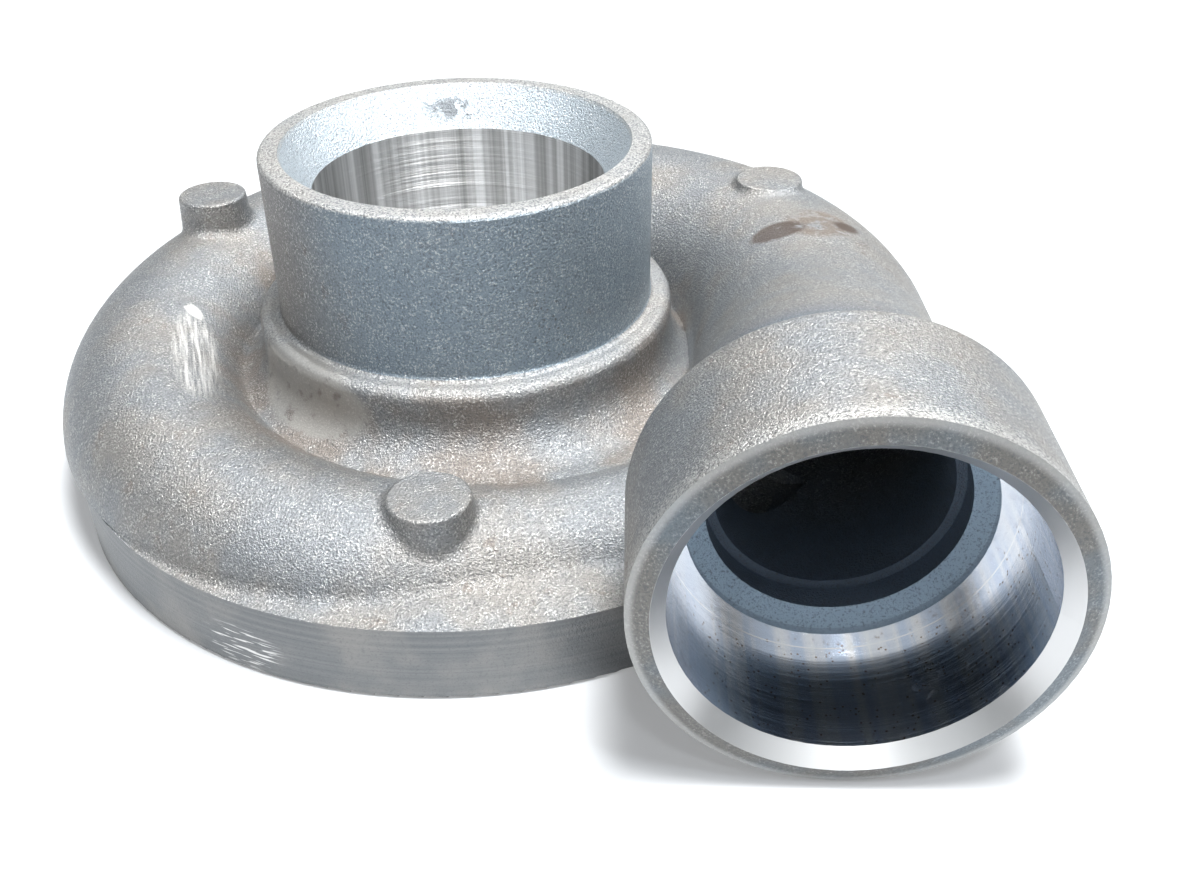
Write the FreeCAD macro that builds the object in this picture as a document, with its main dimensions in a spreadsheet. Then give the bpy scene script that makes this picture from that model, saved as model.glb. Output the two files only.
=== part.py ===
"""A turbocharger compressor housing: one casting, partly machined.

The inlet axis is Z and the machined underside of the base flange is z = 0, so the origin is
where the axis meets the plane that the housing is bolted down by. Seen from above, the air
runs clockwise round the scroll and leaves along -Y through the outlet ring.
"""
import FreeCAD, Part
import math
import os
import re
import Sketcher
from FreeCAD import Placement, Rotation, Vector

os.makedirs("parts", exist_ok=True)
doc = FreeCAD.newDocument("compressor_housing")

# Driving dimensions in millimetres and degrees
SIZES = {
    # inlet tube
    "tube_radius": 51.0,
    "rim_height": 91.5,
    "rim_mouth_radius": 45.8,
    "rim_edge_round": 1.2,
    "bore_radius": 38.6,
    "bore_top_height": 80.3,
    "tube_foot_round": 1.6,
    # collar and web between the tube and the scroll
    "collar_radius": 56.9,
    "collar_height": 48.3,
    "collar_edge_round": 3.0,
    "collar_foot_round": 10.5,
    "web_height": 28.4,
    "web_radius": 82.0,
    "web_rise": 2.6,
    # base flange
    "flange_radius": 110.0,
    "band_height": 20.4,
    "shelf_radius": 96.0,
    "shelf_rise": 2.0,
    "flange_edge_round": 0.8,
    # machined underside
    "register_radius": 94.6,
    "register_depth": 10.0,
    "diffuser_gap": 5.0,
    "diffuser_radius": 70.5,
    "slot_radius": 79.0,
    "slot_height": 26.4,
    "shroud_round": 19.0,
    # scroll
    "scroll_wall": 4.8,
    "duct_end_wall": 6.8,
    "duct_end_flat": 0.3,
    "scroll_inner_radius": 62.0,
    "scroll_start_radius": 10.1,
    "scroll_growth": 24.4,
    "scroll_power": 0.46,
    "scroll_start_height": 13.1,
    "scroll_climb": 15.3,
    "scroll_start_angle": -50.0,
    "scroll_turn": 310.0,
    "floor_start_height": 9.9,
    "floor_climb": 12.0,
    "valley_round": 9.0,
    "valley_round_end": 4.0,
    "shelf_round": 7.0,
    "shelf_round_end": 1.0,
    "blend_dip": 0.15,
    # root of the scroll, where its small end runs into the side of the duct
    "root_angle": -33.0,
    "root_centre_radius": 97.0,
    "root_centre_height": 25.0,
    "root_radius": 15.0,
    "root_floor_height": 17.5,
    # outlet duct and ring
    "outlet_across": 84.2,
    "outlet_forward": 136.6,
    "outlet_height": 46.5,
    "outlet_turn": -2.5,
    "ring_radius": 45.5,
    "ring_length": 41.0,
    "ring_back_round": 4.0,
    "ring_crown": 1.6,
    "mouth_radius": 40.7,
    "seat_radius": 37.5,
    "seat_chamfer": 2.1,
    "seat_depth": 31.0,
    "step_radius": 33.1,
    "step_depth": 33.0,
    "outlet_bore_radius": 28.4,
    "outlet_bore_depth": 34.8,
    "duct_radius": 33.0,
    # round cast bosses on the crest of the scroll
    "boss_radius": 9.9,
    "boss_draft": 4.0,
    "front_boss_angle": -92.6,
    "front_boss_radius": 84.2,
    "front_boss_height": 38.3,
    "left_boss_angle": 150.0,
    "left_boss_radius": 93.0,
    "left_boss_height": 58.1,
    "right_boss_angle": 25.0,
    "right_boss_radius": 98.4,
    "right_boss_height": 62.5,
    "front_boss_length": 14.0,
    "left_boss_length": 19.0,
    "right_boss_length": 12.0,
    "boss_edge_round": 0.9,
    "boss_foot_round": 3.0,
    "duct_foot_round": 4.0,
    # sector in which the scroll's overhang is turned away
    "overhang_start_angle": 5.0,
    "overhang_turn": 260.0,
    "seam_overlap": 0.4,
}

sheet = doc.addObject("Spreadsheet::Sheet", "Sizes")
for row, (alias, number) in enumerate(SIZES.items(), start=1):
    sheet.set(f"A{row}", alias.replace("_", " "))
    sheet.set(f"B{row}", str(number))
    sheet.setAlias(f"B{row}", alias)
doc.recompute()

body = doc.addObject("PartDesign::Body", "compressor_housing")
body.Label = "compressor_housing"
ORIGIN = {feature.Role: feature for feature in body.Origin.OriginFeatures}

# Two places closer than this, in millimetres, are the same
SAME = 0.01


def number_of(expression):
    """The value of an expression of the sheet's sizes, as a plain number."""
    value = sheet.evalExpression(expression)
    return float(getattr(value, "Value", value))


def sized(text):
    """Turns each alias in a formula into a reference to its cell."""
    return re.sub("[a-z_]+", lambda word: f"Sizes.{word[0]}" if word[0] in SIZES else word[0], text)


def new_sketch(name, plane="XZ_Plane", offset=None):
    """A sketch of the body on one of its own origin planes."""
    sketch = body.newObject("Sketcher::SketchObject", name)
    sketch.AttachmentSupport = [(ORIGIN[plane], "")]
    sketch.MapMode = "FlatFace"
    if offset:
        sketch.AttachmentOffset = offset
    return sketch


def pin(sketch, geometry, end, across, up):
    """Ties one point of a sketch to two formulas of the sheet's sizes."""
    for kind, formula in (("DistanceX", across), ("DistanceY", up)):
        index = sketch.addConstraint(
            Sketcher.Constraint(kind, -1, 1, geometry, end, number_of(sized(formula)))
        )
        sketch.setExpression(f"Constraints[{index}]", sized(formula))


def profile(sketch, corners):
    """A closed outline through corners given as formulas (across, up, round or None)."""
    spots = [Vector(number_of(sized(c[0])), number_of(sized(c[1])), 0) for c in corners]
    count = len(corners)
    rounds = [number_of(sized(c[2])) if len(c) > 2 else 0.0 for c in corners]
    starts, ends = [], []
    for i, spot in enumerate(spots):
        before = (spots[i - 1] - spot).normalize()
        after = (spots[(i + 1) % count] - spot).normalize()
        half = before.getAngle(after) / 2
        reach = rounds[i] / math.tan(half) if rounds[i] else 0.0
        ends.append(spot + before * reach)
        starts.append(spot + after * reach)
    lines = []
    for i in range(count):
        lines.append(sketch.addGeometry(Part.LineSegment(starts[i], ends[(i + 1) % count])))
    for i, spot in enumerate(spots):
        into, out_of = lines[i - 1], lines[i]
        if not rounds[i]:
            sketch.addConstraint(Sketcher.Constraint("Coincident", into, 2, out_of, 1))
            pin(sketch, out_of, 1, corners[i][0], corners[i][1])
            continue
        before = (spots[i - 1] - spot).normalize()
        after = (spots[(i + 1) % count] - spot).normalize()
        inward = (before + after).normalize()
        centre = spot + inward * (rounds[i] / math.sin(before.getAngle(after) / 2))
        turns_left = (ends[i] - centre).cross(starts[i] - centre).z > 0
        low, high = (ends[i], starts[i]) if turns_left else (starts[i], ends[i])
        first = 1 if turns_left else 2
        circle = Part.Circle(centre, Vector(0, 0, 1), rounds[i])
        arc = sketch.addGeometry(Part.ArcOfCircle(circle, circle.parameter(low), circle.parameter(high)))
        sketch.addConstraint(Sketcher.Constraint("Tangent", into, 2, arc, first))
        sketch.addConstraint(Sketcher.Constraint("Tangent", out_of, 1, arc, 3 - first))
        index = sketch.addConstraint(Sketcher.Constraint("Radius", arc, rounds[i]))
        sketch.setExpression(f"Constraints[{index}]", sized(corners[i][2]))
        corner = sketch.addGeometry(Part.Point(spot), True)
        sketch.addConstraint(Sketcher.Constraint("PointOnObject", corner, 1, into))
        sketch.addConstraint(Sketcher.Constraint("PointOnObject", corner, 1, out_of))
        pin(sketch, corner, 1, corners[i][0], corners[i][1])


def at_angle(sketch, angle):
    """Turns a sketch that stands on the XZ plane about the inlet axis."""
    sketch.AttachmentOffset = Placement(Vector(), Rotation(Vector(0, 1, 0), number_of(sized(angle))))
    sketch.setExpression("AttachmentOffset.Rotation.Angle", sized(angle))


def at_distance(sketch, forward):
    """Moves a sketch that stands on the XZ plane towards the outlet, along -Y."""
    sketch.AttachmentOffset = Placement(Vector(0, 0, number_of(sized(forward))), Rotation())
    sketch.setExpression("AttachmentOffset.Base.z", sized(forward))


def round_section(sketch, across, up, radius):
    """A circle from formulas for its centre and radius."""
    centre = Vector(number_of(sized(across)), number_of(sized(up)), 0)
    circle = sketch.addGeometry(Part.Circle(centre, Vector(0, 0, 1), number_of(sized(radius))))
    pin(sketch, circle, 3, across, up)
    index = sketch.addConstraint(Sketcher.Constraint("Radius", circle, number_of(sized(radius))))
    sketch.setExpression(f"Constraints[{index}]", sized(radius))


def base_line(sketch, first, last):
    """A construction line between two points given as formulas (across, up)."""
    ends = [Vector(number_of(sized(across)), number_of(sized(up)), 0) for across, up in (first, last)]
    line = sketch.addGeometry(Part.LineSegment(*ends), True)
    pin(sketch, line, 1, *first)
    pin(sketch, line, 2, *last)
    return line, ends[0], ends[1]


def fillet_spot(centre, radius, low, high, fillet, side):
    """Centre and both tangent points of a fillet between a circle and a line below its crest."""
    along = (high - low).normalize()
    normal = Vector(-along.y, along.x, 0)
    height = (centre - low).dot(normal)
    foot = (centre - low).dot(along) + side * math.sqrt((radius + fillet) ** 2 - (fillet - height) ** 2)
    on_line = low + along * foot
    middle = on_line + normal * fillet
    on_circle = centre + (middle - centre) * (radius / (radius + fillet))
    return middle, on_line, on_circle


def arc_between(sketch, centre, radius, low, high):
    """An arc that runs counter-clockwise from one point to another."""
    circle = Part.Circle(centre, Vector(0, 0, 1), radius)
    return sketch.addGeometry(Part.ArcOfCircle(circle, circle.parameter(low), circle.parameter(high)))


def hold_radius(sketch, arc, radius):
    """Binds an arc's radius to a formula of the sheet's sizes."""
    index = sketch.addConstraint(Sketcher.Constraint("Radius", arc, number_of(sized(radius))))
    sketch.setExpression(f"Constraints[{index}]", sized(radius))


def blended_section(sketch, across, up, radius, valley, shelf):
    """The scroll's circle with a fillet down to the web and, if given, one down to the shelf."""
    centre = Vector(number_of(sized(across)), number_of(sized(up)), 0)
    wide = number_of(sized(radius))
    web, low, high = base_line(
        sketch,
        ("collar_radius", "web_height - blend_dip"),
        ("web_radius", "web_height + web_rise - blend_dip"),
    )
    middle, foot, meet = fillet_spot(centre, wide, low, high, number_of(sized(valley)), -1)
    inner = arc_between(sketch, middle, number_of(sized(valley)), foot, meet)
    hold_radius(sketch, inner, valley)
    sketch.addConstraint(Sketcher.Constraint("Tangent", inner, 1, web))
    if shelf:
        ledge, low, high = base_line(
            sketch,
            ("shelf_radius", "band_height + shelf_rise - blend_dip"),
            ("flange_radius", "band_height - blend_dip"),
        )
        middle, last, leave = fillet_spot(centre, wide, low, high, number_of(sized(shelf)), 1)
        outer = arc_between(sketch, middle, number_of(sized(shelf)), leave, last)
        hold_radius(sketch, outer, shelf)
        sketch.addConstraint(Sketcher.Constraint("Tangent", outer, 2, ledge))
    else:
        leave = centre - Vector(wide, 0, 0)
    crest = arc_between(sketch, centre, wide, leave, meet)
    hold_radius(sketch, crest, radius)
    pin(sketch, crest, 3, across, up)
    sketch.addConstraint(Sketcher.Constraint("Tangent", crest, 2, inner, 2))
    if shelf:
        sketch.addConstraint(Sketcher.Constraint("Tangent", crest, 1, outer, 1))
        ground = [Vector(last.x, 0, 0), Vector(foot.x, 0, 0)]
        down = sketch.addGeometry(Part.LineSegment(last, ground[0]))
        level = sketch.addGeometry(Part.LineSegment(ground[0], ground[1]))
        back = sketch.addGeometry(Part.LineSegment(ground[1], foot))
        sketch.addConstraint(Sketcher.Constraint("Coincident", outer, 2, down, 1))
        sketch.addConstraint(Sketcher.Constraint("Coincident", down, 2, level, 1))
        sketch.addConstraint(Sketcher.Constraint("Coincident", level, 2, back, 1))
        sketch.addConstraint(Sketcher.Constraint("Coincident", back, 2, inner, 1))
        sketch.addConstraint(Sketcher.Constraint("Vertical", down))
        sketch.addConstraint(Sketcher.Constraint("Vertical", back))
        sketch.addConstraint(Sketcher.Constraint("PointOnObject", level, 1, -1))
        sketch.addConstraint(Sketcher.Constraint("PointOnObject", level, 2, -1))
    else:
        back = sketch.addGeometry(Part.LineSegment(leave, foot))
        sketch.addConstraint(Sketcher.Constraint("Coincident", crest, 1, back, 1))
        sketch.addConstraint(Sketcher.Constraint("Coincident", back, 2, inner, 1))
        sketch.addConstraint(Sketcher.Constraint("Horizontal", crest, 1, crest, 3))


def oval_section(sketch, across, up, half_width, half_height):
    """An upright oval wider than it is high, from formulas for its centre and half axes."""
    centre = Vector(number_of(sized(across)), number_of(sized(up)), 0)
    wide = number_of(sized(half_width))
    high = number_of(sized(half_height))
    oval = sketch.addGeometry(Part.Ellipse(centre, wide, high))
    sketch.exposeInternalGeometry(oval)
    long_axis, short_axis = oval + 1, oval + 2
    sketch.addConstraint(Sketcher.Constraint("Horizontal", long_axis))
    pin(sketch, oval, 3, across, up)
    for axis, half in ((long_axis, half_width), (short_axis, half_height)):
        full = f"2 * ( {half} )"
        index = sketch.addConstraint(Sketcher.Constraint("Distance", axis, number_of(sized(full))))
        sketch.setExpression(f"Constraints[{index}]", sized(full))


def turned(kind, name, sketch, axis="V_Axis"):
    """A Revolution or Groove of a sketch about one of its own axes."""
    doc.recompute()
    feature = body.newObject(f"PartDesign::{kind}", name)
    feature.Profile = sketch
    feature.ReferenceAxis = (sketch, [axis])
    feature.Angle = 360
    sketch.Visibility = False
    return feature


def lofted(kind, name, sketches):
    """An AdditiveLoft or SubtractiveLoft through a row of section sketches."""
    feature = body.newObject(f"PartDesign::{kind}", name)
    feature.Profile = (sketches[0], [""])
    feature.Sections = [(sketch, [""]) for sketch in sketches[1:]]
    return feature


# Formulas for places well clear of the casting, where its cuts run out
BELOW = "0 - flange_radius"
BEYOND = "flange_radius * 2"
ABOVE = "rim_height * 2"

# Scroll: its section grows with the share of the turn that the air has made
SECTIONS = 12
SPLIT_SHARE = 1 / 3
SPLIT_GUARD = 0.02


def scroll_size(share):
    """Formulas for the outer radius, centre radius and centre height at a share of the turn."""
    radius = f"scroll_start_radius + scroll_growth * {share} ^ scroll_power"
    reach = f"scroll_inner_radius + {radius}"
    height = f"scroll_start_height + scroll_climb * {share}"
    return radius, reach, height


def between(first, last, share):
    """The formula that lies the given share of the way from one formula to another."""
    return f"( {first} ) * ( 1 - {share} ) + ( {last} ) * {share}"


def blends(share):
    """Formulas for the fillets towards the web and towards the shelf at a share of the turn."""
    valley = between("valley_round", "valley_round_end", share)
    shelf = between("shelf_round", "shelf_round_end", share / SPLIT_SHARE) if share <= SPLIT_SHARE else None
    return valley, shelf


def root_station(way):
    """A station of the root, from inside the duct's side to the first one of the scroll."""
    radius, reach, height = scroll_size(1 / SECTIONS)
    return (
        at_angle,
        between("root_angle", f"scroll_start_angle - scroll_turn * {1 / SECTIONS}", way),
        between("root_centre_radius", reach, way),
        between("root_centre_height", height, way),
        between("root_radius", radius, way),
        between("root_floor_height", f"floor_start_height + floor_climb * {1 / SECTIONS}", way),
        "scroll_wall",
        blends(0.0),
    )


def scroll_station(share, with_shelf=True):
    """A station of the scroll at a share of its turn."""
    radius, reach, height = scroll_size(share)
    floor = f"floor_start_height + floor_climb * {share}"
    place = f"scroll_start_angle - scroll_turn * {share}"
    valley, shelf = blends(share)
    return at_angle, place, reach, height, radius, floor, "scroll_wall", (valley, shelf if with_shelf else None)


def duct_station(way):
    """A station of the duct, from the end of the scroll to inside the outlet ring."""
    radius, reach, height = scroll_size(1.0)
    eased = way * way * (3 - 2 * way)
    end = "outlet_forward - ring_length + ring_back_round"
    end_across = "outlet_across - ( ring_length - ring_back_round ) * sin( outlet_turn )"
    end_floor = "outlet_height - duct_radius + duct_end_wall + duct_end_flat"
    return (
        at_distance,
        f"( {end} ) * {way}",
        between(reach, end_across, eased),
        between(height, "outlet_height", eased),
        between(radius, "duct_radius", eased),
        between("floor_start_height + floor_climb", end_floor, eased),
        between("scroll_wall", "duct_end_wall", eased),
        None,
    )


SPLIT_STEP = round(SPLIT_SHARE * SECTIONS)
small_shares = [step / SECTIONS for step in range(1, SPLIT_STEP)] + [SPLIT_SHARE - SPLIT_GUARD, SPLIT_SHARE]
large_shares = [SPLIT_SHARE, SPLIT_SHARE + SPLIT_GUARD]
large_shares += [step / SECTIONS for step in range(SPLIT_STEP + 1, SECTIONS)] + [1 - SPLIT_GUARD, 1]
small_end = [root_station(way) for way in (0.0, 0.5)] + [scroll_station(share) for share in small_shares]
large_end = [scroll_station(share, False) for share in large_shares]
duct_end = [duct_station(way) for way in (0.0, 0.05, 0.35, 0.7, 1.0)]


def outer_loft(name, stations):
    """The cast outside of one stretch of the scroll, through a circle at each station."""
    sketches = []
    for number, (move, place, across, up, radius, floor, wall, blend) in enumerate(stations):
        sketch = new_sketch(f"{name}_section_{number:02d}")
        move(sketch, place)
        if blend:
            blended_section(sketch, across, up, radius, *blend)
        else:
            round_section(sketch, across, up, radius)
        sketches.append(sketch)
    doc.recompute()
    return lofted("AdditiveLoft", name, sketches)


def passage_loft(name, stations):
    """The air passage in one stretch, an oval at each station, one wall inside the casting."""
    sketches = []
    for number, (move, place, across, up, radius, floor, wall, blend) in enumerate(stations):
        sketch = new_sketch(f"{name}_section_{number:02d}")
        move(sketch, place)
        top = f"{up} + {radius} - ( {wall} )"
        oval_section(
            sketch,
            across,
            f"( {top} + {floor} ) / 2",
            f"{radius} - ( {wall} )",
            f"( {top} - ( {floor} ) ) / 2",
        )
        sketches.append(sketch)
    doc.recompute()
    return lofted("SubtractiveLoft", name, sketches)


small_scroll = outer_loft("small_scroll", small_end)
doc.recompute()
large_scroll = outer_loft("large_scroll", large_end)
doc.recompute()
duct = outer_loft("duct", duct_end)
doc.recompute()

# Overhang: the scroll is cut back to the flange's turned band everywhere but at the duct
overhang_sketch = new_sketch("overhang_outline")
at_angle(overhang_sketch, "overhang_start_angle")
profile(overhang_sketch, [
    ("flange_radius - seam_overlap", BELOW),
    (BEYOND, BELOW),
    (BEYOND, "band_height + seam_overlap"),
    ("flange_radius - seam_overlap", "band_height + seam_overlap"),
])
overhang = turned("Groove", "overhang", overhang_sketch)
overhang.setExpression("Angle", "Sizes.overhang_turn")
doc.recompute()

# Hub: inlet tube, collar, web and base flange, turned about the inlet axis
hub_sketch = new_sketch("hub_outline")
profile(hub_sketch, [
    ("0", "rim_height"),
    ("tube_radius", "rim_height", "rim_edge_round"),
    ("tube_radius", "collar_height", "tube_foot_round"),
    ("collar_radius", "collar_height", "collar_edge_round"),
    ("collar_radius", "web_height", "collar_foot_round"),
    ("web_radius", "web_height + web_rise"),
    ("web_radius", "band_height + shelf_rise"),
    ("shelf_radius", "band_height + shelf_rise"),
    ("flange_radius", "band_height"),
    ("flange_radius", "0", "flange_edge_round"),
    ("0", "0"),
])
hub = turned("Revolution", "hub", hub_sketch)
doc.recompute()

# Outlet ring, turned about the outlet axis and bored from its mouth
ring_place = Placement(Vector(SIZES["outlet_across"], -SIZES["outlet_forward"], SIZES["outlet_height"]),
                       Rotation(Vector(0, 0, 1), SIZES["outlet_turn"]))
ring_sketch = new_sketch("ring_outline", "XY_Plane", ring_place)
ring_sketch.setExpression("AttachmentOffset.Base.x", "Sizes.outlet_across")
ring_sketch.setExpression("AttachmentOffset.Base.y", "0 - Sizes.outlet_forward")
ring_sketch.setExpression("AttachmentOffset.Base.z", "Sizes.outlet_height")
ring_sketch.setExpression("AttachmentOffset.Rotation.Angle", "Sizes.outlet_turn")
profile(ring_sketch, [
    ("0", "outlet_bore_depth"),
    ("outlet_bore_radius", "outlet_bore_depth"),
    ("step_radius", "step_depth"),
    ("step_radius", "seat_depth"),
    ("seat_radius", "seat_depth"),
    ("seat_radius", "seat_chamfer"),
    ("mouth_radius", "0 - ring_crown"),
    ("ring_radius", "0"),
    ("ring_radius", "ring_length", "ring_back_round"),
    ("0", "ring_length"),
])
outlet_ring = turned("Revolution", "outlet_ring", ring_sketch)
doc.recompute()

def rounded(name, edges, radius):
    """A Fillet along edges of the casting as it stands, with its radius from the sheet."""
    base = body.Tip
    names = []
    for number, edge in enumerate(base.Shape.Edges, start=1):
        if any(edge.isSame(wanted) for wanted in edges):
            names.append(f"Edge{number}")
    feature = body.newObject("PartDesign::Fillet", name)
    feature.Base = (base, names)
    feature.setExpression("Radius", f"Sizes.{radius}")
    doc.recompute()


def duct_edges():
    """The edges where the duct runs into the flat back of the outlet ring."""
    back = ring_place.multVec(Vector(0, SIZES["ring_length"], 0))
    facing = ring_place.Rotation.multVec(Vector(0, 1, 0))
    for face in body.Tip.Shape.Faces:
        surface = face.Surface
        if not isinstance(surface, Part.Plane) or surface.Axis.cross(facing).Length > SAME:
            continue
        if abs((surface.Position - back).dot(facing)) < SAME:
            return [edge for wire in face.Wires if not wire.isSame(face.OuterWire) for edge in wire.Edges]
    return []


def boss_edges(middle, of_top):
    """The rim of a boss's flat top, or the edges of its foot on the scroll."""
    rim_height = middle.z - 2 * SIZES["boss_edge_round"]
    edges = []
    for face in body.Tip.Shape.Faces:
        surface = face.Surface
        if not isinstance(surface, Part.Cone) or (surface.Apex - middle).cross(Vector(0, 0, 1)).Length > SAME:
            continue
        for edge in face.Edges:
            is_rim = edge.CenterOfMass.z > rim_height
            if not edge.isSeam(face) and is_rim == of_top:
                edges.append(edge)
    return edges


rounded("duct_foot", duct_edges(), "duct_foot_round")

# Bosses: short round posts with draft, cast on the crest, with rounded tops and feet
for side in ("front", "left", "right"):
    across = f"{side}_boss_radius * cos( {side}_boss_angle * 1 deg )"
    along = f"{side}_boss_radius * sin( {side}_boss_angle * 1 deg )"
    middle = Vector(number_of(sized(across)), number_of(sized(along)), SIZES[f"{side}_boss_height"])
    boss_sketch = new_sketch(f"{side}_boss_outline", "XY_Plane", Placement())
    boss_sketch.setExpression("AttachmentOffset.Base.z", f"Sizes.{side}_boss_height")
    round_section(boss_sketch, across, along, "boss_radius")
    doc.recompute()
    boss = body.newObject("PartDesign::Pad", f"{side}_boss")
    boss.Profile = boss_sketch
    boss.Reversed = True
    boss.setExpression("Length", f"Sizes.{side}_boss_length")
    boss.setExpression("TaperAngle", "Sizes.boss_draft")
    doc.recompute()
    rounded(f"{side}_boss_top", boss_edges(middle, True), "boss_edge_round")
    rounded(f"{side}_boss_foot", boss_edges(middle, False), "boss_foot_round")

# Machined underside: register bore, diffuser face, slot into the passage and seating plane
under_sketch = new_sketch("underside_outline")
profile(under_sketch, [
    ("0", BELOW),
    (BEYOND, BELOW),
    (BEYOND, "0"),
    ("register_radius", "0"),
    ("register_radius", "register_depth"),
    ("slot_radius", "register_depth"),
    ("slot_radius", "slot_height"),
    ("diffuser_radius", "slot_height"),
    ("diffuser_radius", "register_depth + diffuser_gap"),
    ("bore_radius", "register_depth + diffuser_gap", "shroud_round"),
    ("bore_radius", "bore_top_height"),
    ("rim_mouth_radius", "rim_height"),
    ("rim_mouth_radius", ABOVE),
    ("0", ABOVE),
])
underside = turned("Groove", "underside", under_sketch)
doc.recompute()

small_passage = passage_loft("small_passage", small_end)
doc.recompute()
large_passage = passage_loft("large_passage", large_end)
doc.recompute()
duct_passage = passage_loft("duct_passage", duct_end)
doc.recompute()
bore_sketch = new_sketch("outlet_bore_outline", "XY_Plane", ring_place)
bore_sketch.setExpression("AttachmentOffset.Base.x", "Sizes.outlet_across")
bore_sketch.setExpression("AttachmentOffset.Base.y", "0 - Sizes.outlet_forward")
bore_sketch.setExpression("AttachmentOffset.Base.z", "Sizes.outlet_height")
bore_sketch.setExpression("AttachmentOffset.Rotation.Angle", "Sizes.outlet_turn")
profile(bore_sketch, [
    ("0", "step_depth"),
    ("outlet_bore_radius", "step_depth"),
    ("outlet_bore_radius", "ring_length"),
    ("0", "ring_length"),
])
outlet_bore = turned("Groove", "outlet_bore", bore_sketch)
doc.recompute()

for item in doc.Objects:
    if "Invalid" in item.State or "Error" in item.State:
        raise SystemExit(f"{item.Name} failed: {item.State}")
shape = body.Shape
if shape.isNull() or not shape.isValid() or len(shape.Solids) != 1:
    raise SystemExit("the casting isn't one valid solid")
print(f"one solid of {shape.Volume:.0f} cubic mm")
shape.exportStep("parts/compressor_housing.step")
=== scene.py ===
import math

import bpy
from mathutils import Matrix, Vector

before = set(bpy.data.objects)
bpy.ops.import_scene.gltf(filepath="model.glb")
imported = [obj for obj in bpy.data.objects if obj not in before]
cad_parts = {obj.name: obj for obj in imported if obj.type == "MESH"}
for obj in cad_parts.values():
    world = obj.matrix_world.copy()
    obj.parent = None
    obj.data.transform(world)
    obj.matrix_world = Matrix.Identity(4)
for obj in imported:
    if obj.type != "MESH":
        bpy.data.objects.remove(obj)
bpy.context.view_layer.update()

# The casting. One piece of cast iron, shot-blasted all over, then turned on the flange band,
# the inlet bore, the underside and the outlet mouth. Its finish is worked out from where each
# spot lies: by radius and height about the inlet axis, and by radius and depth in the outlet.
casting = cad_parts["compressor_housing"]

# Radii, heights and depths of the zones, in metres; TENTH is a tenth of a millimetre
BORE_RADIUS = 0.0386
BORE_TOP = 0.0803
RIM_TOP = 0.0915
RIM_MOUTH_RADIUS = 0.0459
TUBE_RADIUS = 0.0510
TUBE_TOP = 0.0908
COLLAR_RADIUS = 0.0569
COLLAR_TOP = 0.0483
FLANGE_RADIUS = 0.1100
BAND_TOP = 0.0204
REGISTER_RADIUS = 0.0946
DIFFUSER_HEIGHT = 0.0150
SHROUD_TOP = 0.0340
SHROUD_RADIUS = 0.0576
OUTLET_CENTRE = (0.0842, -0.1366, 0.0465)
OUTLET_TURN = math.radians(-2.5)
OUTLET_AXIS = (math.sin(-OUTLET_TURN), math.cos(OUTLET_TURN), 0.0)
RING_RADIUS = 0.0455
RING_CROWN = 0.0016
MOUTH_RADIUS = 0.0407
SEAT_RADIUS = 0.0375
CHAMFER_DEPTH = 0.0021
SEAT_DEPTH = 0.0310
STEP_DEPTH = 0.0330
STEP_RADIUS = 0.0331
THROAT_RADIUS = 0.0296
THROAT_START = 0.0348
THROAT_FADE = 0.0550
THROAT_END = 0.0880
BELOW = -1.0
TENTH = 0.0001

# How fine each noise is, and how far the grain stands up
BLOTCHES_PER_METRE = 38.0
WAVES_PER_METRE = 90.0
FLECKS_PER_METRE = 240.0
PITS_PER_METRE = 640.0
CUTS_PER_METRE = 900.0
GRAINS_PER_METRE = 1800.0
GROOVES_PER_METRE = 11000.0
GRAIN_DEPTH = 0.00052
WAVE_SHARE = 0.9

# Colours of the skin, of the machined places and of the marks; among them painted glints, highlights,
# shade and reflections
COOL_IRON = (0.262, 0.277, 0.292, 1.0)
WARM_IRON = (0.302, 0.292, 0.278, 1.0)
# Painted shade for the pits of the grain
PIT_SHADE_PAINT = (0.110, 0.118, 0.130, 1.0)
# Painted highlight for the glints on the grain
PAINTED_GLINT = (0.900, 0.895, 0.880, 1.0)
# Painted reflection and painted shade of the tube: bluish at its front, darker at its left
TUBE_FRONT_REFLECTION = (0.250, 0.325, 0.388, 1.0)
TUBE_LEFT_SHADE = (0.185, 0.172, 0.162, 1.0)
# Painted highlight for the rounded edges
EDGE_HIGHLIGHT_PAINT = (0.560, 0.560, 0.550, 1.0)
RUST_TINT = (0.140, 0.080, 0.045, 1.0)
SPECK_BROWN = (0.230, 0.140, 0.070, 1.0)
BAND_IRON = (0.170, 0.180, 0.188, 1.0)
BAND_PALE = (0.225, 0.230, 0.232, 1.0)
# Painted reflection streaks of the bore, dark and near-white
BORE_DARK = (0.300, 0.298, 0.292, 1.0)
BORE_STREAK_SHINE = (0.985, 0.985, 0.985, 1.0)
FACE_IRON = (0.170, 0.195, 0.215, 1.0)
FACE_BROWN = (0.185, 0.180, 0.170, 1.0)
UNDER_IRON = (0.400, 0.400, 0.395, 1.0)
POLISHED_IRON_AND_STREAK_SHINE = (0.780, 0.780, 0.785, 1.0)
CHAMFER_IRON = (0.640, 0.640, 0.640, 1.0)
SEAT_IRON = (0.560, 0.630, 0.740, 1.0)
STEP_CAST = (0.330, 0.420, 0.500, 1.0)
# Painted shade for the throat inside the outlet
THROAT_SHADE_PAINT = (0.130, 0.165, 0.210, 1.0)
CONE_CAST = (0.520, 0.580, 0.630, 1.0)
GROUND_IRON = (0.470, 0.460, 0.440, 1.0)
STAIN_DARK = (0.052, 0.034, 0.026, 1.0)
STAIN_PALE = (0.130, 0.098, 0.075, 1.0)
SMUDGE = (0.130, 0.140, 0.150, 1.0)
SCRAPE_PALE = (0.880, 0.870, 0.850, 1.0)

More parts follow.
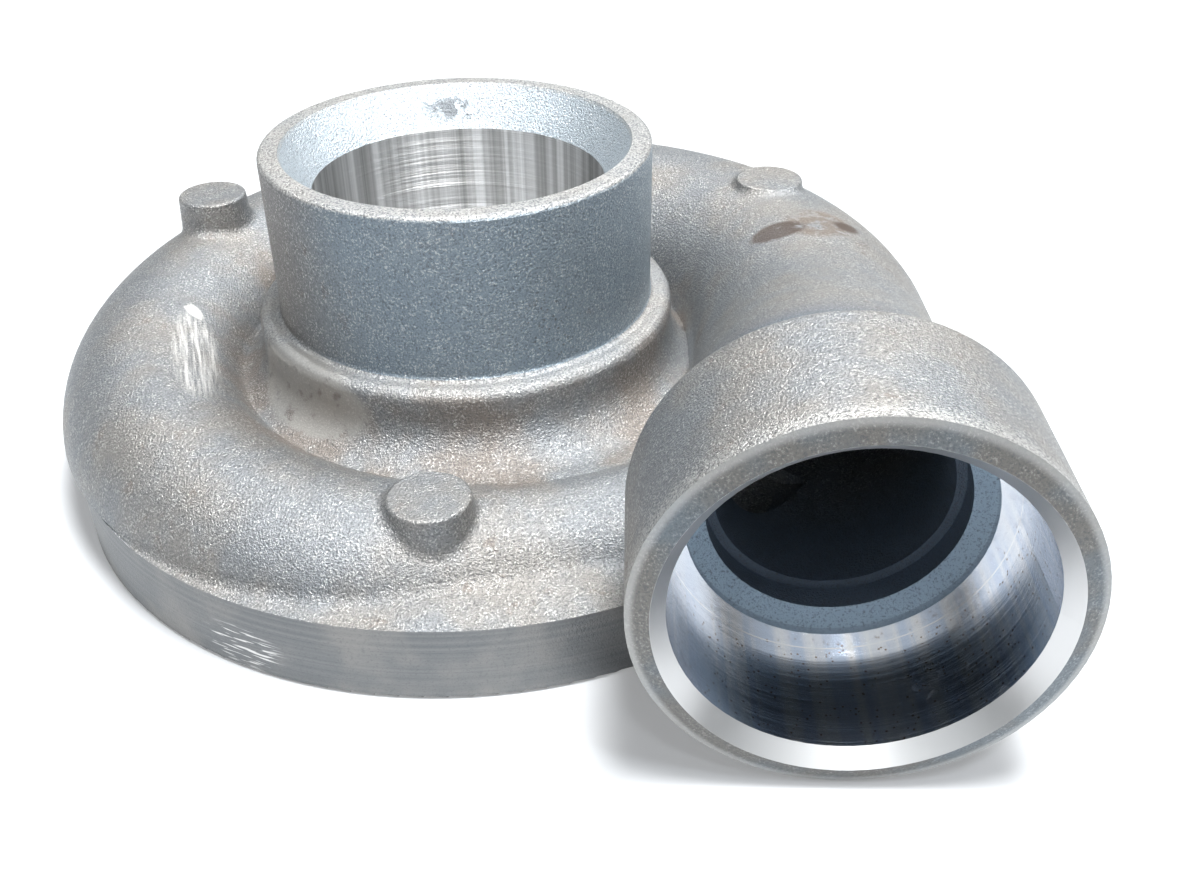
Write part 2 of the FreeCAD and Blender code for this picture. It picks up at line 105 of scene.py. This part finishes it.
# Roughness and metal share of the blasted skin, and of the skin where it is stained
BLASTED_ROUGHNESS = 0.44
GLINT_POLISH = -0.28
STAINED_ROUGHNESS = 0.68
BLASTED_METAL = 0.80
STAINED_METAL = 0.15


def add(tree, kind, inputs=(), **settings):
    """A new node in a tree, with its settings, and its inputs given as (socket, value or link)."""
    node = tree.nodes.new(kind)
    for name, value in settings.items():
        setattr(node, name, value)
    for name, value in inputs:
        if isinstance(value, bpy.types.NodeSocket):
            tree.links.new(value, node.inputs[name])
        else:
            node.inputs[name].default_value = value
    return node


def calc(tree, operation, *values):
    """One Math node on numbers or links, and its result."""
    return add(tree, "ShaderNodeMath", list(enumerate(values)), operation=operation).outputs[0]


def vector_calc(tree, operation, *values, result="Vector"):
    """One Vector Math node on vectors or links, and its result."""
    node = add(tree, "ShaderNodeVectorMath", list(enumerate(values)), operation=operation)
    return node.outputs[result]


def rise(tree, value, low, high):
    """0 below low and 1 above high, with a smooth step between; falls where low is above high."""
    limits = [("Value", value), ("From Min", low), ("From Max", high)]
    return add(tree, "ShaderNodeMapRange", limits, interpolation_type="SMOOTHSTEP").outputs[0]


def within(tree, value, low, high):
    """1 where a value lies between two limits, and 0 outside."""
    return calc(tree, "COMPARE", value, (low + high) / 2, (high - low) / 2)


def times(tree, *masks):
    """The product of several masks or numbers."""
    result = masks[0]
    for mask in masks[1:]:
        result = calc(tree, "MULTIPLY", result, mask)
    return result


def most(tree, *masks):
    """The largest of several masks."""
    result = masks[0]
    for mask in masks[1:]:
        result = calc(tree, "MAXIMUM", result, mask)
    return result


def blend_colour(tree, share, under, over):
    """One colour laid over another by a share."""
    inputs = [(0, share), (6, under), (7, over)]
    return add(tree, "ShaderNodeMix", inputs, data_type="RGBA").outputs[2]


def blend_value(tree, share, under, over):
    """One number laid over another by a share."""
    inputs = [(0, share), (2, under), (3, over)]
    return add(tree, "ShaderNodeMix", inputs, data_type="FLOAT").outputs[0]


def blend_vector(tree, share, under, over):
    """One vector laid over another by a share."""
    inputs = [(0, share), (4, under), (5, over)]
    return add(tree, "ShaderNodeMix", inputs, data_type="VECTOR").outputs[1]


def noise(tree, place, scale, detail=2.0, roughness=0.5):
    """The value of a noise texture at a place."""
    inputs = [("Vector", place), ("Scale", scale), ("Detail", detail), ("Roughness", roughness)]
    return add(tree, "ShaderNodeTexNoise", inputs).outputs[0]


def line_noise(tree, place, scale, detail=1.0, roughness=0.6):
    """The value of a noise along one line."""
    inputs = [("W", place), ("Scale", scale), ("Detail", detail), ("Roughness", roughness)]
    return add(tree, "ShaderNodeTexNoise", inputs, noise_dimensions="1D").outputs[0]


iron = bpy.data.materials.new("blasted_and_turned_iron")
iron.use_nodes = True
skin = iron.node_tree
shader = skin.nodes["Principled BSDF"]

# Place on the casting: radius and height about the inlet, radius and depth in the outlet
place = skin.nodes.new("ShaderNodeTexCoord").outputs["Object"]
axes = add(skin, "ShaderNodeSeparateXYZ", [(0, place)])
height = axes.outputs["Z"]
flat_place = vector_calc(skin, "MULTIPLY", place, (1.0, 1.0, 0.0))
radius = vector_calc(skin, "LENGTH", flat_place, result="Value")
outward = vector_calc(skin, "NORMALIZE", flat_place)
outlet_frame = [("Vector", place), ("Location", OUTLET_CENTRE), ("Rotation", (0.0, 0.0, OUTLET_TURN))]
outlet_place = add(skin, "ShaderNodeMapping", outlet_frame, vector_type="TEXTURE").outputs[0]
depth = add(skin, "ShaderNodeSeparateXYZ", [(0, outlet_place)]).outputs["Y"]
outlet_flat = vector_calc(skin, "MULTIPLY", outlet_place, (1.0, 0.0, 1.0))
outlet_radius = vector_calc(skin, "LENGTH", outlet_flat, result="Value")
outlet_outward = vector_calc(skin, "NORMALIZE", outlet_flat)


def inlet_zone(inner, outer, low, high):
    """1 between two radii and two heights about the inlet axis."""
    return times(skin, within(skin, radius, inner, outer), within(skin, height, low, high))


def outlet_zone(inner, outer, near, far):
    """1 between two radii about the outlet axis and two depths behind its face."""
    return times(skin, within(skin, outlet_radius, inner, outer), within(skin, depth, near, far))


# Masks of the machined places, the inlet cone, the tube and the throat behind the outlet, whose colour
# is painted dark as its shade
band = inlet_zone(FLANGE_RADIUS - 7 * TENTH, FLANGE_RADIUS + 7 * TENTH, BELOW, BAND_TOP)
under = most(
    skin,
    within(skin, height, BELOW, 2 * TENTH),
    inlet_zone(BELOW, REGISTER_RADIUS + 3 * TENTH, BELOW, DIFFUSER_HEIGHT + 3 * TENTH),
    inlet_zone(BELOW, SHROUD_RADIUS, BELOW, SHROUD_TOP),
)
inlet_bore = inlet_zone(BELOW, BORE_RADIUS + 4 * TENTH, SHROUD_TOP, BORE_TOP)
inlet_cone = inlet_zone(BELOW, RIM_MOUTH_RADIUS, BORE_TOP, RIM_TOP - TENTH)
ring_face = outlet_zone(MOUTH_RADIUS, RING_RADIUS, BELOW, TENTH / 2)
chamfer_front = -RING_CROWN - 2 * TENTH
chamfer = outlet_zone(SEAT_RADIUS - 2 * TENTH, MOUTH_RADIUS, chamfer_front, CHAMFER_DEPTH)
seat = outlet_zone(BELOW, SEAT_RADIUS + 6 * TENTH, CHAMFER_DEPTH, SEAT_DEPTH - 2 * TENTH)
seat_end = outlet_zone(BELOW, SEAT_RADIUS + 6 * TENTH, SEAT_DEPTH - 2 * TENTH, STEP_DEPTH)
step = outlet_zone(BELOW, STEP_RADIUS + 4 * TENTH, STEP_DEPTH, THROAT_START + 2 * TENTH)
throat = times(
    skin,
    within(skin, outlet_radius, BELOW, THROAT_RADIUS),
    rise(skin, depth, THROAT_START, THROAT_START + 3 * TENTH),
    rise(skin, depth, THROAT_END, THROAT_FADE),
)
tube = inlet_zone(TUBE_RADIUS - 5 * TENTH, TUBE_RADIUS + 3 * TENTH, COLLAR_TOP, TUBE_TOP)

# Blasted skin: a fine grain on metal of uneven tone, with painted glints on the tops of its grain and
# painted shade in its pits, a painted bluish reflection on the front of the tube and painted shade on
# its left, and brown with a little rust in the valley round the collar
blotch = noise(skin, place, BLOTCHES_PER_METRE, 3.0, 0.62)
fleck = noise(skin, place, FLECKS_PER_METRE, 2.0, 0.65)
grain = noise(skin, place, GRAINS_PER_METRE, 2.0, 0.75)
waves = noise(skin, place, WAVES_PER_METRE, 1.0)
colour = blend_colour(skin, rise(skin, blotch, 0.36, 0.64), COOL_IRON, WARM_IRON)
# The tube is painted bluish at the front as a reflection, and darker towards its left side as shade
shaded_left_side = rise(skin, axes.outputs["X"], -0.020, -0.046)
tube_reflection_and_shade = blend_colour(skin, shaded_left_side, TUBE_FRONT_REFLECTION, TUBE_LEFT_SHADE)
colour = blend_colour(skin, times(skin, tube, 0.75), colour, tube_reflection_and_shade)
valley = times(
    skin,
    rise(skin, radius, 0.079, 0.070),
    rise(skin, radius, COLLAR_RADIUS - 12 * TENTH, COLLAR_RADIUS),
    rise(skin, height, 0.054, 0.044),
    rise(skin, blotch, 0.44, 0.64),
)
freckles = times(skin, rise(skin, fleck, 0.58, 0.70), rise(skin, blotch, 0.46, 0.62))
rust = most(skin, times(skin, valley, 0.32), times(skin, freckles, 0.30))
colour = blend_colour(skin, rust, colour, RUST_TINT)
colour = blend_colour(skin, inlet_cone, colour, CONE_CAST)
# Painted shade: colour darkened where the grain, which is also the bump's height, lies low
painted_pit_shade = times(skin, rise(skin, grain, 0.48, 0.34), 0.60)
# Painted glints: near-white colour on the tops of the grain, a painted highlight; the roughness is
# lowered there too
painted_glints = times(skin, rise(skin, grain, 0.54, 0.66), rise(skin, fleck, 0.25, 0.60), 0.50)
colour = blend_colour(skin, painted_pit_shade, colour, PIT_SHADE_PAINT)
colour = blend_colour(skin, painted_glints, colour, PAINTED_GLINT)

# Painted highlights along the edges, lighter and sparkling: rim, collar ledge and the ring's outer
# corner
rim_edge = times(
    skin,
    rise(skin, height, RIM_TOP - 14 * TENTH, RIM_TOP - 4 * TENTH),
    within(skin, radius, 0.0452, 0.0520),
)
ledge = times(
    skin,
    within(skin, radius, TUBE_RADIUS + 3 * TENTH, COLLAR_RADIUS - 4 * TENTH),
    within(skin, height, COLLAR_TOP - 12 * TENTH, COLLAR_TOP + 12 * TENTH),
)
corner = times(
    skin,
    rise(skin, depth, 0.0060, 0.0012),
    rise(skin, outlet_radius, RING_RADIUS - 22 * TENTH, RING_RADIUS - 6 * TENTH),
)
painted_edge_highlight = times(skin, most(skin, rim_edge, times(skin, ledge, 0.4), corner), rise(skin, grain, 0.38, 0.58))
colour = blend_colour(skin, times(skin, painted_edge_highlight, 0.75), colour, EDGE_HIGHLIGHT_PAINT)


def mark(centre, turn, size, soft=0.45):
    """A place turned and scaled to an ellipsoid, and 1 inside it, falling to 0 at its skin."""
    local_frame = [("Vector", place), ("Location", centre), ("Rotation", (0.0, 0.0, math.radians(turn))),
                   ("Scale", size)]
    local = add(skin, "ShaderNodeMapping", local_frame, vector_type="TEXTURE").outputs[0]
    reach = vector_calc(skin, "LENGTH", local, result="Value")
    return local, rise(skin, reach, 1.0, 1.0 - soft)


# A pale scrape along the inner flank of the scroll at the left, drawn out in fine lines
scrape_place, scrape = mark((-0.0708, -0.0230, 0.0420), -73.0, (0.0270, 0.0075, 0.0120))
drawn_out = vector_calc(skin, "MULTIPLY", scrape_place, (1.0, 6.0, 6.0))
scrape_lines = rise(skin, noise(skin, drawn_out, 1.6, 3.0), 0.30, 0.75)
nick = mark((-0.0768, -0.0018, 0.0430), -45.0, (0.0046, 0.0024, 0.0060))[1]
nick = times(skin, nick, rise(skin, fleck, 0.30, 0.45))
pale_marks = most(skin, times(skin, scrape, scrape_lines), nick)
colour = blend_colour(skin, times(skin, pale_marks, 0.85), colour, SCRAPE_PALE)

# A patch of the collar wall that was ground smooth
ground_patch = mark((-0.0400, -0.0410, 0.0400), 45.0, (0.0120, 0.0270, 0.0110), 0.20)[1]
ground_patch = times(skin, ground_patch, rise(skin, fleck, 0.25, 0.45))
colour = blend_colour(skin, times(skin, ground_patch, 0.70), colour, GROUND_IRON)

# A brown smear on the scroll at the right, with a dark tail, a mottled middle and a dark spot
middle = mark((0.0990, 0.0085, 0.0620), -20.0, (0.0120, 0.0125, 0.0150), 0.40)[1]
tail = mark((0.0868, 0.0060, 0.0605), 8.0, (0.0088, 0.0062, 0.0150), 0.30)[1]
spot = mark((0.1066, 0.0085, 0.0600), 20.0, (0.0046, 0.0050, 0.0140), 0.50)[1]
smear = times(skin, middle, rise(skin, fleck, 0.36, 0.56))
dark_smear = times(skin, most(skin, tail, spot), rise(skin, fleck, 0.26, 0.44))
colour = blend_colour(skin, times(skin, smear, 0.75), colour, STAIN_PALE)
colour = blend_colour(skin, times(skin, dark_smear, 0.85), colour, STAIN_DARK)

# Casting pores low on the front of the tube, and a smudge inside the rim
pits = add(skin, "ShaderNodeTexVoronoi", [("Vector", place), ("Scale", PITS_PER_METRE)])
pits = pits.outputs["Distance"]
pore_patch = mark((0.0245, -0.0446, 0.0600), 0.0, (0.0160, 0.0160, 0.0160), 0.70)[1]
pores = times(skin, pore_patch, tube, rise(skin, pits, 0.28, 0.14))
smudge = mark((-0.0045, 0.0412, 0.0855), 0.0, (0.0110, 0.0070, 0.0046), 0.70)[1]
smudge = times(skin, smudge, rise(skin, fleck, 0.44, 0.54))
colour = blend_colour(skin, times(skin, most(skin, pores, smudge), 0.80), colour, SMUDGE)

# Turned surfaces: streaks that run round about the axis, painted reflections laid into the colour of the
# bore and the seat, and fine grooves side by side, which tilt the surface to and fro across them and
# draw each light out into a line
outlet_side = most(skin, ring_face, chamfer, seat, seat_end, step)
reflection_streaks = noise(skin, blend_vector(skin, outlet_side, outward, outlet_outward), 8.0, 4.0, 0.65)
upright = most(skin, band, inlet_bore)
groove_place = blend_value(skin, upright, radius, height)
groove_place = blend_value(skin, outlet_side, groove_place, depth)
groove_place = blend_value(skin, ring_face, groove_place, outlet_radius)
groove_across = blend_vector(skin, upright, outward, (0.0, 0.0, 1.0))
groove_across = blend_vector(skin, outlet_side, groove_across, OUTLET_AXIS)
groove_across = blend_vector(skin, ring_face, groove_across, outlet_outward)
grooves = line_noise(skin, groove_place, GROOVES_PER_METRE)
cuts = line_noise(skin, groove_place, CUTS_PER_METRE, 2.0)
GROOVE_TILTS = (
    (band, 0.18),
    (under, 0.30),
    (inlet_bore, 3.20),
    (ring_face, 0.20),
    (chamfer, 0.20),
    (seat, 0.70),
)
groove_tilt = 0.0
for mask, steepness in GROOVE_TILTS:
    groove_tilt = calc(skin, "MULTIPLY_ADD", mask, steepness, groove_tilt)
groove_tilt = times(skin, groove_tilt, calc(skin, "SUBTRACT", grooves, 0.5))
tilt = add(skin, "ShaderNodeVectorMath", [(0, groove_across), ("Scale", groove_tilt)], operation="SCALE")

# Scratches across the flange band at the front left
scratch_place, scratch_patch = mark((-0.0480, -0.0990, 0.0070), -27.0, (0.0130, 0.0060, 0.0080), 0.50)
scratch_frame = [("Vector", scratch_place), ("Rotation", (0.0, math.radians(40.0), 0.0)),
                 ("Scale", (1.0, 1.0, 8.0))]
scratch_lines = noise(skin, add(skin, "ShaderNodeMapping", scratch_frame).outputs[0], 1.8, 1.0)
scratches = times(skin, scratch_patch, rise(skin, scratch_lines, 0.56, 0.64))

# Colours of the machined places
band_colour = blend_colour(skin, rise(skin, cuts, 0.20, 0.80), BAND_IRON, BAND_PALE)
band_blotches = times(skin, rise(skin, blotch, 0.44, 0.66), 0.6)
band_colour = blend_colour(skin, band_blotches, band_colour, WARM_IRON)
# Painted pit shade on the band
band_colour = blend_colour(skin, times(skin, painted_pit_shade, 0.5), band_colour, PIT_SHADE_PAINT)
band_colour = blend_colour(skin, times(skin, scratches, 0.75), band_colour, SCRAPE_PALE)
# The bore is painted in pale and dark streaks, painted reflections along the turned wall
bore_reflection_streaks = blend_colour(skin, rise(skin, reflection_streaks, 0.28, 0.76), BORE_DARK, BORE_STREAK_SHINE)
face_colour = blend_colour(skin, rise(skin, blotch, 0.4, 0.6), FACE_IRON, FACE_BROWN)
# Painted pit shade on the ring face
face_colour = blend_colour(skin, painted_pit_shade, face_colour, PIT_SHADE_PAINT)
# and painted glints on it
face_colour = blend_colour(skin, times(skin, painted_glints, 0.35), face_colour, PAINTED_GLINT)
# Painted highlight on the ring's outer corner
face_colour = blend_colour(skin, times(skin, corner, 0.5), face_colour, EDGE_HIGHLIGHT_PAINT)
# Painted pit shade on the step
step_colour = blend_colour(skin, painted_pit_shade, STEP_CAST, PIT_SHADE_PAINT)
# The throat is painted dark and bluish as the shade inside the duct, with painted pit shade
throat_shade_colour = blend_colour(skin, painted_pit_shade, THROAT_SHADE_PAINT, PIT_SHADE_PAINT)
brown_specks = times(skin, rise(skin, pits, 0.22, 0.12), rise(skin, fleck, 0.38, 0.46), 0.85)
# The seat too: painted reflection streaks from its iron up to a near-white shine
seat_colour = blend_colour(skin, rise(skin, reflection_streaks, 0.40, 0.66), SEAT_IRON, POLISHED_IRON_AND_STREAK_SHINE)
seat_colour = blend_colour(skin, brown_specks, seat_colour, SPECK_BROWN)

# Each machined place with its colour and its roughness, laid over the blasted skin in turn
FINISHES = (
    (band, band_colour, 0.46),
    (inlet_bore, bore_reflection_streaks, 0.36),
    (under, UNDER_IRON, 0.32),
    (ring_face, face_colour, 0.52),
    (chamfer, CHAMFER_IRON, 0.34),
    (seat, seat_colour, 0.20),
    (seat_end, POLISHED_IRON_AND_STREAK_SHINE, 0.20),
    (step, step_colour, 0.50),
    (throat, throat_shade_colour, 0.60),
)
stained = most(skin, smear, dark_smear, times(skin, rust, 0.6))
rough = calc(skin, "MULTIPLY_ADD", painted_glints, GLINT_POLISH, BLASTED_ROUGHNESS)
rough = blend_value(skin, stained, rough, STAINED_ROUGHNESS)
for mask, finish, finish_roughness in FINISHES:
    colour = blend_colour(skin, mask, colour, finish)
    rough = blend_value(skin, mask, rough, finish_roughness)
bright = most(skin, inlet_bore, under, chamfer, seat, seat_end)
half_smooth = most(skin, times(skin, ground_patch, 0.7), times(skin, most(skin, band, ring_face), 0.6))
metal = blend_value(skin, most(skin, bright, ring_face, band), BLASTED_METAL, 1.0)
metal = blend_value(skin, stained, metal, STAINED_METAL)

# The grain stands up everywhere but on the machined places, which keep only their grooves
true_normal = add(skin, "ShaderNodeNewGeometry").outputs["Normal"]
tilted = vector_calc(skin, "NORMALIZE", vector_calc(skin, "ADD", true_normal, tilt.outputs[0]))
relief = add(skin, "ShaderNodeBump", [
    ("Height", calc(skin, "MULTIPLY_ADD", waves, WAVE_SHARE, grain)),
    ("Normal", tilted),
    ("Strength", calc(skin, "MULTIPLY_ADD", most(skin, bright, half_smooth), -0.95, 0.95)),
    ("Distance", GRAIN_DEPTH),
])
skin.links.new(colour, shader.inputs["Base Color"])
skin.links.new(rough, shader.inputs["Roughness"])
skin.links.new(metal, shader.inputs["Metallic"])
skin.links.new(relief.outputs[0], shader.inputs["Normal"])
for slot in casting.material_slots:
    slot.material = iron

# Floor. A plain pale sheet under the part, not part of the object: it takes the part's shadow
# near by, and glows white further out, to the camera and in the metal's reflections.
FLOOR_REACH = 3.0
FLOOR_DROP = -0.0002
FLOOR_GLOW = 0.26
NEAR_FLOOR = 0.20
FAR_FLOOR = 1.60
FLOOR_PAINT = (0.560, 0.585, 0.615, 1.0)
floor_mesh = bpy.data.meshes.new("floor")
floor_signs = ((-1, -1), (1, -1), (1, 1), (-1, 1))
floor_corners = [(x * FLOOR_REACH, y * FLOOR_REACH, FLOOR_DROP) for x, y in floor_signs]
floor_mesh.from_pydata(floor_corners, [], [(0, 1, 2, 3)])
floor = bpy.data.objects.new("floor", floor_mesh)
bpy.context.scene.collection.objects.link(floor)
paper = bpy.data.materials.new("pale_floor")
paper.use_nodes = True
sheet = paper.node_tree
paper_shader = sheet.nodes["Principled BSDF"]
paper_shader.inputs["Base Color"].default_value = FLOOR_PAINT
paper_shader.inputs["Roughness"].default_value = 0.85
paper_shader.inputs["Emission Color"].default_value = (1.0, 1.0, 1.0, 1.0)
rays = sheet.nodes.new("ShaderNodeLightPath").outputs
seen = most(sheet, rays["Is Camera Ray"], rays["Is Glossy Ray"], rays["Is Transmission Ray"])
floor_place = sheet.nodes.new("ShaderNodeTexCoord").outputs["Object"]
reach = vector_calc(sheet, "LENGTH", floor_place, result="Value")
glow = blend_value(sheet, rise(sheet, reach, NEAR_FLOOR, FAR_FLOOR), FLOOR_GLOW, 1.0)
sheet.links.new(times(sheet, seen, glow), paper_shader.inputs["Emission Strength"])
floor_mesh.materials.append(paper)

# Light. A white room whose walls reflect dimmer than its ceiling, a soft lamp overhead, one
# behind that lays a sheen on the upper faces, and two small ones over the camera that draw
# streaks on the turned places.
ROOM_LEVEL = 0.12
WHITE_LEVEL = 1.0
ROOM_TINT = (0.93, 0.97, 1.0, 1.0)
LAMP_TARGET = (0.0, 0.0, 0.04)
world = bpy.data.worlds.new("white_room")
bpy.context.scene.world = world
world.use_nodes = True
room = world.node_tree
rays = room.nodes.new("ShaderNodeLightPath").outputs
direction = room.nodes.new("ShaderNodeTexCoord").outputs["Generated"]
upward = add(room, "ShaderNodeSeparateXYZ", [(0, direction)]).outputs["Z"]
ceiling = times(room, rays["Is Glossy Ray"], rise(room, upward, 0.05, 0.60))
seen = most(room, rays["Is Camera Ray"], rays["Is Transmission Ray"], ceiling)
background = room.nodes["Background"].inputs
room.links.new(blend_value(room, seen, ROOM_LEVEL, WHITE_LEVEL), background["Strength"])
background["Color"].default_value = ROOM_TINT


def soft_lamp(name, place, width, power, tint):
    """A square area lamp at a place, turned to face the middle of the part."""
    lamp = bpy.data.lights.new(name, "AREA")
    lamp.size = width
    lamp.energy = power
    lamp.color = tint
    holder = bpy.data.objects.new(name, lamp)
    holder.location = place
    facing = Vector(LAMP_TARGET) - Vector(place)
    holder.rotation_euler = facing.to_track_quat("-Z", "Y").to_euler()
    bpy.context.scene.collection.objects.link(holder)


soft_lamp("sheen_lamp", (0.30, 0.62, 0.85), 0.60, 3.5, (1.0, 0.985, 0.96))
soft_lamp("top_lamp", (0.20, -0.18, 1.12), 0.34, 24.0, (1.0, 0.99, 0.97))
soft_lamp("near_lamp", (0.42, -0.50, 1.05), 0.14, 2.5, (0.96, 0.98, 1.0))
soft_lamp("side_lamp", (0.06, -0.72, 1.05), 0.10, 1.5, (0.96, 0.98, 1.0))

# Camera. Held above the front of the part and looking down into the outlet; its place, turn
# and lens were worked out from the round edges of the part in the photograph.
CAMERA_PLACE = (0.03164, -0.31039, 0.20551)
CAMERA_YAW = math.radians(0.938)
CAMERA_PITCH = math.radians(33.831)
CAMERA_ROLL = math.radians(-0.468)
CAMERA_LENS = 36.99
SENSOR_WIDTH = 36.0
NEAREST_SEEN = 0.01
camera = bpy.data.objects.new("camera", bpy.data.cameras.new("camera"))
camera.data.lens = CAMERA_LENS
camera.data.sensor_width = SENSOR_WIDTH
camera.data.clip_start = NEAREST_SEEN
camera.matrix_world = (
    Matrix.Translation(CAMERA_PLACE)
    @ Matrix.Rotation(-CAMERA_YAW, 4, "Z")
    @ Matrix.Rotation(math.pi / 2 - CAMERA_PITCH, 4, "X")
    @ Matrix.Rotation(CAMERA_ROLL, 4, "Z")
)
bpy.context.scene.collection.objects.link(camera)
bpy.context.scene.camera = camera
bpy.context.scene.view_settings.view_transform = "Standard"
